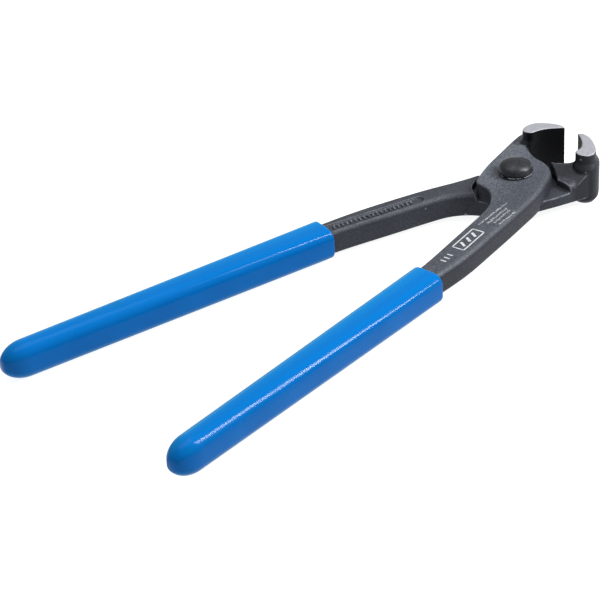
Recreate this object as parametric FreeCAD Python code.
import FreeCAD, Part
import math
import os
from FreeCAD import Vector

# End-cutting nippers: two forged levers, one turned over and crossed on the other at a
# rivet, each with a dipped plastic grip. Millimetres.
# The forgings are alike but for their long sides, the boss and the root of the jaw.
# The origin is on the pivot axis, on the lap plane where the levers meet.
# +X runs to the jaws, +Z is the upper face, and the upper lever's grip is at -Y.

# ---- lever blank ----
FACE_Z = 7.0           # outer flat face of a lever, above the lap plane
INNER_Z = -3.0         # inner flat face of the shank, past the lap
LAP_GAP = 0.05         # each lap face stands this far off the lap plane
BROAD_ROUND = 2.6      # rounding along the lever's outer edge
SMALL_ROUND = 0.8      # rounding along the edge of the outer face nearer the other grip
INNER_ROUND = 3.0      # rounding along the edge of the inner face nearer the other grip

# ---- jaws ----
JAW_TOP_Z = 12.8       # ground end faces of the jaws above the lap plane
JAW_BOTTOM_Z = -8.7    # and below it
EDGE_X = 32.4          # cutting edge, partly open
EDGE_Y = 3.4

# ---- root of the jaw ----
THROAT_R = 16.7        # wall behind the jaw on the lap side, a radius about the pivot axis
THROAT_X = 12.2        # where that wall turns straight out to the lever's edge
ROOT_X = 10.0          # the lever is as deep below the lap plane as above it from here to the jaw
SLOPE = 0.72           # the root's lap side rises from the lap plane to full depth, this steep
SLOPE_FROM = (12.6, 19.0)
SLOPE_ACROSS = 0.25    # and it is this much higher for each millimetre towards the inside
NECK_FLARE = 1.3       # the claw widens by this where it meets the lever
NECK_FLARE_H = 2.0
NECK_CENTRE = (24.5, 12.5)
HEEL_FROM = (5.0, 17.2, 4.1)    # bevel under the lower lever's jaw: a point on it,
HEEL_SLOPE = 0.53      # its fall across the lever
HEEL_RISE = 0.172      # and its rise along it
PALM_Y = 10.5          # a lever's long side curves start this far out or nearer at the jaw

# outside of the claw in plan, round its thick root and along to the cutting edge
PLATE_SIDE_NECK = [
    (20.0, 10.3), (19.0, 12.1), (19.1, 14.1), (20.7, 15.3), (23.2, 15.8), (25.8, 15.4), (28.2, 14.1),
    (30.5, 11.4), (32.5, 7.7), (32.9, 4.3),
]
LAP_SIDE_NECK = [
    (20.9, 12.6), (19.9, 14.4), (20.1, 16.6), (21.1, 18.2), (22.7, 19.2), (25.2, 19.0), (27.7, 17.5),
    (31.3, 12.9), (33.6, 8.4), (33.6, 4.6),
]

# inside of the claw, from the cutting edge in, on the plate's side and on the lap side
PLATE_SIDE_HOLLOW = [(EDGE_X, EDGE_Y), (29.9, 5.4), (27.4, 7.4), (24.9, 8.9), (22.3, 9.6)]
LAP_SIDE_HOLLOW = [(EDGE_X, EDGE_Y), (30.3, 6.7), (28.4, 9.2), (26.1, 11.3), (23.5, 12.4)]

# ---- plan of a lever, each table running along one side ----
PALM = [(32.8, 12.9), (30.6, 16.6), (27.2, 19.4)]
UPPER_FAR_WALL = [
    (22.0, 19.5), (16.4, 18.1), (8.1, 15.6), (-2.1, 12.5), (-12.6, 8.1), (-15.4, 6.2), (-16.3, 3.9),
]
LOWER_FAR_WALL = [
    (22.0, 20.0), (14.5, 18.9), (7.0, 17.7), (-2.1, 14.6), (-12.6, 9.0), (-15.4, 6.5), (-16.3, 4.1),
]
NOTCH = [(-16.5, 0.8), (-17.4, -2.4), (-19.9, -5.8), (-25.4, -10.0), (-34.0, -13.0), (-55.0, -18.3)]
UPPER_NEAR_WALL = [
    (-58.0, -30.6), (-42.0, -27.1), (-26.0, -23.3), (-13.0, -20.0), (-3.0, -16.9), (2.5, -14.3),
]
LOWER_NEAR_WALL = [
    (-58.0, -29.7), (-42.0, -25.9), (-26.0, -21.4), (-14.0, -17.4), (-4.0, -14.8), (2.5, -13.2),
]
UPPER_BOSS = [
    (8.5, -11.3), (12.8, -7.1), (14.9, -2.0), (15.3, 2.4), (17.0, 6.8),
    (20.0, 10.2), (24.6, 10.4), (28.6, 9.0),
]
LOWER_BOSS = [
    (8.5, -11.3), (12.8, -7.1), (15.2, -2.0), (16.2, 2.8), (17.8, 7.0),
    (20.3, 10.2), (24.6, 10.4), (28.6, 9.0),
]

# room for the other lever's plate behind the pivot: radius and angle from the jaws' side
UPPER_SWEEP_ROOM = [
    (18.1, 180), (18.1, 200), (17.9, 212), (17.3, 217), (16.5, 223),
    (15.7, 230), (15.4, 238), (15.8, 245),
    (16.7, 251), (18.2, 258), (19.8, 265), (21.0, 270),
]
LOWER_SWEEP_ROOM = [
    (18.1, 180), (18.1, 200), (17.6, 210), (16.9, 217), (16.1, 223),
    (15.4, 230), (14.9, 238), (15.0, 245),
    (15.5, 252), (16.4, 259), (17.7, 265), (18.9, 270),
]

# ---- rivet ----
PIN_R = 5.0
PIN_RUNNING_FIT = 0.05
HEAD_R = 6.95
HEAD_FOOT_R = 6.3      # undercut foot under the head
HEAD_FOOT_H = 0.5
HEAD_SIDE_H = 1.4
DOME_H = 3.5
PEENED_SIDE_H = 0.3    # the lower head is peened flatter, clear of a bench
PEENED_DOME_H = 0.8

# ---- tang and grip ----
COLLAR = (-76.8, -28.2)      # middle of the shank where the grip starts
TANG_END = (-207.0, -45.9)
TANG_HALF_W = 4.6
TANG_END_HALF_W = 3.6
TANG_MARKS = (0.0, 0.12, 0.4, 0.7, 1.0)   # where its side curves are held, by length
GRIP_END = (-217.4, -47.3)
GRIP_START_HALF_W = 7.3
GRIP_END_HALF_W = 5.7
GRIP_START_HALF_T = 6.35
GRIP_END_HALF_T = 7.1
GRIP_START_CORNER = 3.4
GRIP_END_CORNER = 4.4
GRIP_MID_Z = 2.0
TIP_LENGTH = 9.7
TIP_STEPS = 6
TIP_FACET = 0.35       # size of the small flat at the very end, against the full section

# ---- forged groove in the inner face ----
GROOVE_FROM = (-36.0, -17.4)
GROOVE_TO = (-80.0, -28.1)
GROOVE_HALF_W = 1.9
GROOVE_DEPTH = 0.8

LONG_EDGE = 100.0      # edges longer than this run the length of the lever
LEVEL_GAP = 0.01       # an edge this near a height lies at it
REACH = 90.0           # the shapes taken away run this far, past the ends of the jaws


os.makedirs("parts", exist_ok=True)


def flat(point, z=0.0):
    return Vector(point[0], point[1], z)


def line(a, b):
    return Part.makeLine(flat(a), flat(b))


def spline(points):
    curve = Part.BSplineCurve()
    curve.interpolate([flat(p) for p in points])
    return curve.toShape()


def tang_side(side):
    # points along one side of the tang, from the collar to its end
    run = math.hypot(TANG_END[0] - COLLAR[0], TANG_END[1] - COLLAR[1])
    along = ((TANG_END[0] - COLLAR[0]) / run, (TANG_END[1] - COLLAR[1]) / run)
    points = []
    for s in TANG_MARKS:
        half = TANG_HALF_W * (1 - s) + TANG_END_HALF_W * s
        x = COLLAR[0] + along[0] * run * s + side * along[1] * half
        y = COLLAR[1] + along[1] * run * s - side * along[0] * half
        points.append((x, y))
    return points


def blank_outline(far_wall, near_wall, boss):
    # plan of a lever without its jaw: one curve along each side, between the jaw and the tang
    far_side = PALM + far_wall + NOTCH
    tang_in = tang_side(1)
    tang_out = tang_side(-1)[::-1]
    edges = [
        spline(far_side + tang_in),
        line(tang_in[-1], tang_out[0]),
        spline(tang_out + near_wall + boss),
        line(boss[-1], far_side[0]),
    ]
    return Part.Face(Part.Wire(edges))


def claw_level(z, outline):
    # plan of the claw at one height, a curve right round from the cutting edge and a blunt tip
    wire = Part.Wire([spline(outline), line(outline[-1], outline[0])])
    wire.translate(Vector(0, 0, z))
    return wire


def mixed(first, second, t):
    return (first[0] * (1 - t) + second[0] * t, first[1] * (1 - t) + second[1] * t)


def flared(point, grow):
    # a point of the neck, moved out from the neck's middle
    away = Vector(point[0] - NECK_CENTRE[0], point[1] - NECK_CENTRE[1], 0).normalize() * grow
    return (point[0] + away.x, point[1] + away.y)


def claw(above, below, plate_outer):
    # jaw from its lower ground end to its upper one, with the neck flared into the lever
    levels = []
    for z, outer, grow in (
        (-below, LAP_SIDE_NECK, 0.0),
        (-FACE_Z - NECK_FLARE_H, LAP_SIDE_NECK, 0.0),
        (-FACE_Z, LAP_SIDE_NECK, NECK_FLARE),
        (FACE_Z, plate_outer, NECK_FLARE),
        (FACE_Z + NECK_FLARE_H, plate_outer, 0.0),
        (above, plate_outer, 0.0),
    ):
        if z < -below or z > above:
            continue
        down = (JAW_TOP_Z - z) / (2 * JAW_TOP_Z)
        inner = [mixed(p, q, down) for p, q in zip(PLATE_SIDE_HOLLOW, LAP_SIDE_HOLLOW)]
        last = len(outer) - 2
        neck = [flared(p, grow) if i < last else p for i, p in enumerate(outer)]
        levels.append(claw_level(z, inner + neck))
    return Part.makeLoft(levels, True, True)


def jaw_root(plan):
    # thick root that carries the claw, with a sloping shoulder up from the lap plane
    root = plan.extrude(Vector(0, 0, -FACE_Z))
    root = root.common(block(ROOT_X, REACH, -REACH, REACH, -REACH, REACH))
    return root.cut(shoulder())


def shoulder():
    # everything under the sloping shoulder and under the lap plane
    top = []
    for x, y in ((0, 0), (REACH, 0), (REACH, REACH), (0, REACH)):
        top.append(Vector(x, y, -SLOPE * (x - SLOPE_FROM[0]) - SLOPE_ACROSS * (SLOPE_FROM[1] - y)))
    top.append(top[0])
    low = [Vector(p.x, p.y, -2 * REACH) for p in top]
    wedge = Part.makeLoft([Part.makePolygon(low), Part.makePolygon(top)], True, True)
    return wedge.common(block(-REACH, REACH, -REACH, REACH, -REACH, 0))


def turned(edges):
    # solid turned about the pivot axis from a closed outline in the XZ plane
    return Part.Face(Part.Wire(edges)).revolve(Vector(0, 0, 0), Vector(0, 0, 1), 360)


def rz(r, z):
    return Vector(r, 0, z)


def block(x0, x1, y0, y1, z0, z1):
    return Part.makeBox(x1 - x0, y1 - y0, z1 - z0, Vector(x0, y0, z0))


def rounded_plate(plan):
    plate = plan.extrude(Vector(0, 0, FACE_Z - INNER_Z))
    plate.translate(Vector(0, 0, INNER_Z))
    for radius, side, levels in (
        (SMALL_ROUND, 1, (FACE_Z,)),
        (INNER_ROUND, 1, (INNER_Z,)),
        (BROAD_ROUND, -1, (FACE_Z, INNER_Z)),
    ):
        plate = plate.makeFillet(radius, long_edges(plate, side, levels))
    return plate


def long_edges(plate, side, levels):
    # edges along one side of the plate, +1 for the side facing the other grip
    found = []
    for edge in plate.Edges:
        box = edge.BoundBox
        level = box.ZLength < LEVEL_GAP and any(abs(box.ZMax - z) < LEVEL_GAP for z in levels)
        jaw_end = max(edge.Vertexes, key=lambda corner: corner.X)
        if level and edge.Length > LONG_EDGE and side * (jaw_end.Y - PALM_Y) > 0:
            found.append(edge)
    return found


def groove():
    # round-ended groove along the shank's inner face
    start = Vector(GROOVE_FROM[0], GROOVE_FROM[1], INNER_Z)
    end = Vector(GROOVE_TO[0], GROOVE_TO[1], INNER_Z)
    along = end - start
    side = Vector(-along.y, along.x, 0).normalize() * GROOVE_HALF_W
    back = Vector(along).normalize() * -GROOVE_HALF_W
    wire = Part.Wire([
        Part.makeLine(start + side, end + side),
        Part.makeLine(end + side, end - side),
        Part.makeLine(end - side, start - side),
        Part.Arc(start - side, start + back, start + side).toShape(),
    ])
    cutter = Part.Face(wire).extrude(Vector(0, 0, 2 * GROOVE_DEPTH))
    cutter.translate(Vector(0, 0, -GROOVE_DEPTH))
    return cutter


def sweep_room(room):
    # room on the lap side of a shank for the other lever's plate, through the whole swing
    first_r = room[0][0]
    edges = [
        spline([polar(r, a) for r, a in room]),
        line(polar(*room[-1]), polar(first_r, 90)),
        Part.Arc(*[flat(polar(first_r, a)) for a in (90, 135, 180)]).toShape(),
    ]
    return Part.Face(Part.Wire(edges)).extrude(Vector(0, 0, -REACH))


def polar(r, degrees):
    return (r * math.cos(math.radians(degrees)), r * math.sin(math.radians(degrees)))


def lever(far_wall, near_wall, boss, room, hole_r, above, below, plate_neck, trims):
    plan = blank_outline(far_wall, near_wall, boss)
    body = rounded_plate(plan).fuse(jaw_root(plan))
    for cutter in trims:
        body = body.cut(cutter)
    body = body.fuse(claw(above, below, plate_neck))
    lap = LAP_GAP / 2
    beside = block(0, THROAT_X, -REACH, REACH, -REACH, lap)
    behind = sweep_room(room)
    behind.translate(Vector(0, 0, lap))
    throat = Part.makeCylinder(THROAT_R, REACH, Vector(0, 0, lap - REACH))
    throat = throat.common(block(0, REACH, -REACH, REACH, -REACH, lap))
    hole = Part.makeCylinder(hole_r, 2 * REACH, Vector(0, 0, -REACH))
    for cutter in (beside, behind, throat, hole, groove()):
        body = body.cut(cutter)
    return body.removeSplitter()


def heel():
    # wedge taken off the outer face of the lower lever along its jaw's outer side
    corners = []
    for x, y in ((-REACH / 4, 0), (REACH / 2, 0), (REACH / 2, REACH / 2), (-REACH / 4, REACH / 2)):
        z = HEEL_FROM[2] + HEEL_RISE * (x - HEEL_FROM[0]) + HEEL_SLOPE * (HEEL_FROM[1] - y)
        corners.append(Vector(x, y, z))
    corners.append(corners[0])
    over = [Vector(p.x, p.y, REACH / 2) for p in corners]
    return Part.makeLoft([Part.makePolygon(corners), Part.makePolygon(over)], True, True)


def grip_section(centre, half_w, half_t, corner):
    # rounded rectangle across the grip, standing on the line of the tang
    run = math.hypot(GRIP_END[0] - COLLAR[0], GRIP_END[1] - COLLAR[1])
    across = Vector((COLLAR[1] - GRIP_END[1]) / run, (GRIP_END[0] - COLLAR[0]) / run, 0)
    up = Vector(0, 0, 1)
    bend = corner * (1 - math.sqrt(0.5))
    edges = []
    corners = ((1, 1), (-1, 1), (-1, -1), (1, -1))
    points = []
    for sx, sz in corners:
        flat_w = half_w - corner
        flat_t = half_t - corner
        on_top = centre + across * (sx * flat_w) + up * (sz * half_t)
        on_side = centre + across * (sx * half_w) + up * (sz * flat_t)
        middle = centre + across * (sx * (half_w - bend)) + up * (sz * (half_t - bend))
        points.append((on_side, middle, on_top) if sx == sz else (on_top, middle, on_side))
    for i, (a, b, c) in enumerate(points):
        edges.append(Part.Arc(a, b, c).toShape())
        edges.append(Part.makeLine(c, points[(i + 1) % len(points)][0]))
    return Part.Wire(edges)


def grip_at(s, shrink=1.0):
    # section at a fraction s of the grip's length
    centre = flat(COLLAR, GRIP_MID_Z) * (1 - s) + flat(GRIP_END, GRIP_MID_Z) * s
    half_w = (GRIP_START_HALF_W * (1 - s) + GRIP_END_HALF_W * s) * shrink
    half_t = (GRIP_START_HALF_T * (1 - s) + GRIP_END_HALF_T * s) * shrink
    corner = (GRIP_START_CORNER * (1 - s) + GRIP_END_CORNER * s) * shrink
    return grip_section(centre, half_w, half_t, corner)


def grip():
    run = math.hypot(GRIP_END[0] - COLLAR[0], GRIP_END[1] - COLLAR[1])
    tip = TIP_LENGTH / run
    sections = [grip_at(0.0), grip_at(1.0 - tip)]
    solid = Part.makeLoft(sections, True, True)
    rounds = []
    for i in range(TIP_STEPS + 1):
        turn = i / TIP_STEPS * math.acos(TIP_FACET)
        s = 1.0 - tip + tip * math.sin(turn) / math.sin(math.acos(TIP_FACET))
        rounds.append(grip_at(s, math.cos(turn)))
    solid = solid.fuse(Part.makeLoft(rounds, True, True))
    return solid.removeSplitter()


def rivet_end(side_h, dome_h):
    # upper half of a rivet, turned about the pivot axis
    foot = FACE_Z + LAP_GAP
    head = foot + HEAD_FOOT_H
    rim = head + side_h
    half = [
        Part.makeLine(rz(0, 0), rz(PIN_R, 0)),
        Part.makeLine(rz(PIN_R, 0), rz(PIN_R, foot)),
        Part.makeLine(rz(PIN_R, foot), rz(HEAD_FOOT_R, foot)),
        Part.makeLine(rz(HEAD_FOOT_R, foot), rz(HEAD_FOOT_R, head)),
        Part.makeLine(rz(HEAD_FOOT_R, head), rz(HEAD_R, head)),
        Part.makeLine(rz(HEAD_R, head), rz(HEAD_R, rim)),
    ]
    ball = (HEAD_R ** 2 + dome_h ** 2) / (2 * dome_h)
    mid_r = HEAD_R / 2
    mid_z = rim + dome_h - ball + math.sqrt(ball ** 2 - mid_r ** 2)
    half.append(Part.Arc(rz(HEAD_R, rim), rz(mid_r, mid_z), rz(0, rim + dome_h)).toShape())
    half.append(Part.makeLine(rz(0, rim + dome_h), rz(0, 0)))
    return turned(half)


def rivet():
    # made head above, lower peened head below
    made = rivet_end(HEAD_SIDE_H, DOME_H)
    peened = flipped(rivet_end(PEENED_SIDE_H, PEENED_DOME_H))
    return made.fuse(peened).removeSplitter()


def flipped(shape):
    # turned over about the long axis, as everything below the lap plane lies
    other = shape.copy()
    other.rotate(Vector(0, 0, 0), Vector(1, 0, 0), 180)
    return other


def save(name, shape):
    shape.exportStep("parts/" + name + ".step")


above = JAW_TOP_Z
below = -JAW_BOTTOM_Z
upper = lever(
    UPPER_FAR_WALL,
    UPPER_NEAR_WALL,
    UPPER_BOSS,
    UPPER_SWEEP_ROOM,
    PIN_R + PIN_RUNNING_FIT,
    above,
    below,
    PLATE_SIDE_NECK,
    [],
)
lower = lever(
    LOWER_FAR_WALL,
    LOWER_NEAR_WALL,
    LOWER_BOSS,
    LOWER_SWEEP_ROOM,
    PIN_R,
    below,
    above,
    LAP_SIDE_NECK,
    [heel()],
)
lower = flipped(lower)
sleeve = grip()
save("upper_lever", upper)
save("lower_lever", lower)
save("upper_grip", sleeve.cut(upper))
save("lower_grip", flipped(sleeve).cut(lower))
save("pivot_rivet", rivet())
